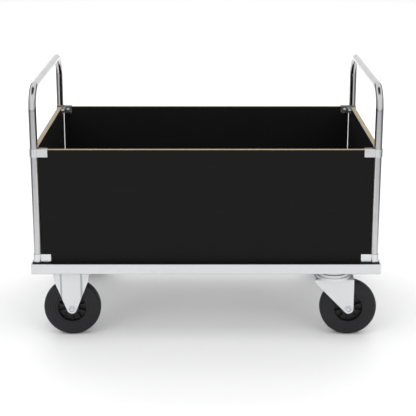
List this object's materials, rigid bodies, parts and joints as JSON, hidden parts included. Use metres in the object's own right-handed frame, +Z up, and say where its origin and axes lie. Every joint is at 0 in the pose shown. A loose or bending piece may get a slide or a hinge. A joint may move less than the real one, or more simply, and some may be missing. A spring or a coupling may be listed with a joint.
{
  "type": "platform trolley",
  "caption": "Platform trolley with a low steel frame, plywood sides clamped to tubular end handles, and fixed and swivel castors.",
  "frame": {"origin": "on the floor, under the middle of the platform", "axes": "+X along the platform towards the swivel castors, +Y across it to the rear, +Z up"},
  "size_m": [1.2, 0.8, 0.897],
  "materials": {
    "frame_paint": "satin light grey powder coat",
    "deck_board": "dark film-faced plywood",
    "side_board": "dark film-faced plywood with bare edges",
    "handle_chrome": "bright plated tube",
    "clamp_zinc": "zinc plated sheet",
    "castor_zinc": "bright zinc plated sheet",
    "fixing_steel": "zinc plated fasteners",
    "bearing_steel": "ground steel",
    "tyre_rubber": "dark grey solid rubber",
    "rim_plastic": "black moulded plastic"
  },
  "bodies": {
    "chassis": {"front_rail": "frame_paint", "rear_rail": "frame_paint", "left_rail": "frame_paint", "right_rail": "frame_paint", "cross_members": "frame_paint", "deck": "deck_board", "deck_screws": "fixing_steel", "left_handle": "handle_chrome", "right_handle": "handle_chrome", "handle_plugs": "fixing_steel", "handle_bolts": "fixing_steel", "front_panel": "side_board", "rear_panel": "side_board", "left_panel": "side_board", "right_panel": "side_board", "front_left_outer_clamps": "clamp_zinc", "front_right_outer_clamps": "clamp_zinc", "rear_left_outer_clamps": "clamp_zinc", "rear_right_outer_clamps": "clamp_zinc", "front_left_inner_clamps": "clamp_zinc", "front_right_inner_clamps": "clamp_zinc", "rear_left_inner_clamps": "clamp_zinc", "rear_right_inner_clamps": "clamp_zinc", "clamp_studs": "fixing_steel", "clamp_nuts": "fixing_steel", "castor_bolts": "fixing_steel", "castor_nuts": "fixing_steel", "front_left_bracket": "castor_zinc", "rear_left_bracket": "castor_zinc", "fixed_axle_bolts": "fixing_steel", "fixed_axle_nuts": "fixing_steel", "fixed_sleeves": "fixing_steel", "front_right_plate": "castor_zinc", "front_right_balls": "bearing_steel", "front_right_kingpin": "fixing_steel", "rear_right_plate": "castor_zinc", "rear_right_balls": "bearing_steel", "rear_right_kingpin": "fixing_steel"},
    "fixed_wheel_front": {"front_left_rim": "rim_plastic", "front_left_tyre": "tyre_rubber", "front_left_bearing": "bearing_steel"},
    "fixed_wheel_rear": {"rear_left_rim": "rim_plastic", "rear_left_tyre": "tyre_rubber", "rear_left_bearing": "bearing_steel"},
    "swivel_fork_front": {"front_right_fork": "castor_zinc", "front_right_axle_bolt": "fixing_steel", "front_right_axle_nut": "fixing_steel", "front_right_sleeve": "fixing_steel"},
    "swivel_wheel_front": {"front_right_rim": "rim_plastic", "front_right_tyre": "tyre_rubber", "front_right_bearing": "bearing_steel"},
    "swivel_fork_rear": {"rear_right_fork": "castor_zinc", "rear_right_axle_bolt": "fixing_steel", "rear_right_axle_nut": "fixing_steel", "rear_right_sleeve": "fixing_steel"},
    "swivel_wheel_rear": {"rear_right_rim": "rim_plastic", "rear_right_tyre": "tyre_rubber", "rear_right_bearing": "bearing_steel"}
  },
  "joints": [
    {"name": "fixed_wheel_front_spin", "type": "hinge", "parent": "chassis", "child": "fixed_wheel_front", "pos_m": [-0.47, -0.32, 0.1], "axis": [0, 1, 0], "continuous": true},
    {"name": "fixed_wheel_rear_spin", "type": "hinge", "parent": "chassis", "child": "fixed_wheel_rear", "pos_m": [-0.47, 0.32, 0.1], "axis": [0, 1, 0], "continuous": true},
    {"name": "castor_front_swivel", "type": "hinge", "parent": "chassis", "child": "swivel_fork_front", "pos_m": [0.445, -0.32, 0.22], "axis": [0, 0, 1], "continuous": true},
    {"name": "swivel_wheel_front_spin", "type": "hinge", "parent": "swivel_fork_front", "child": "swivel_wheel_front", "pos_m": [0.499, -0.32, 0.1], "axis": [0, 1, 0], "continuous": true},
    {"name": "castor_rear_swivel", "type": "hinge", "parent": "chassis", "child": "swivel_fork_rear", "pos_m": [0.445, 0.32, 0.22], "axis": [0, 0, 1], "continuous": true},
    {"name": "swivel_wheel_rear_spin", "type": "hinge", "parent": "swivel_fork_rear", "child": "swivel_wheel_rear", "pos_m": [0.499, 0.32, 0.1], "axis": [0, 1, 0], "continuous": true}
  ]
}
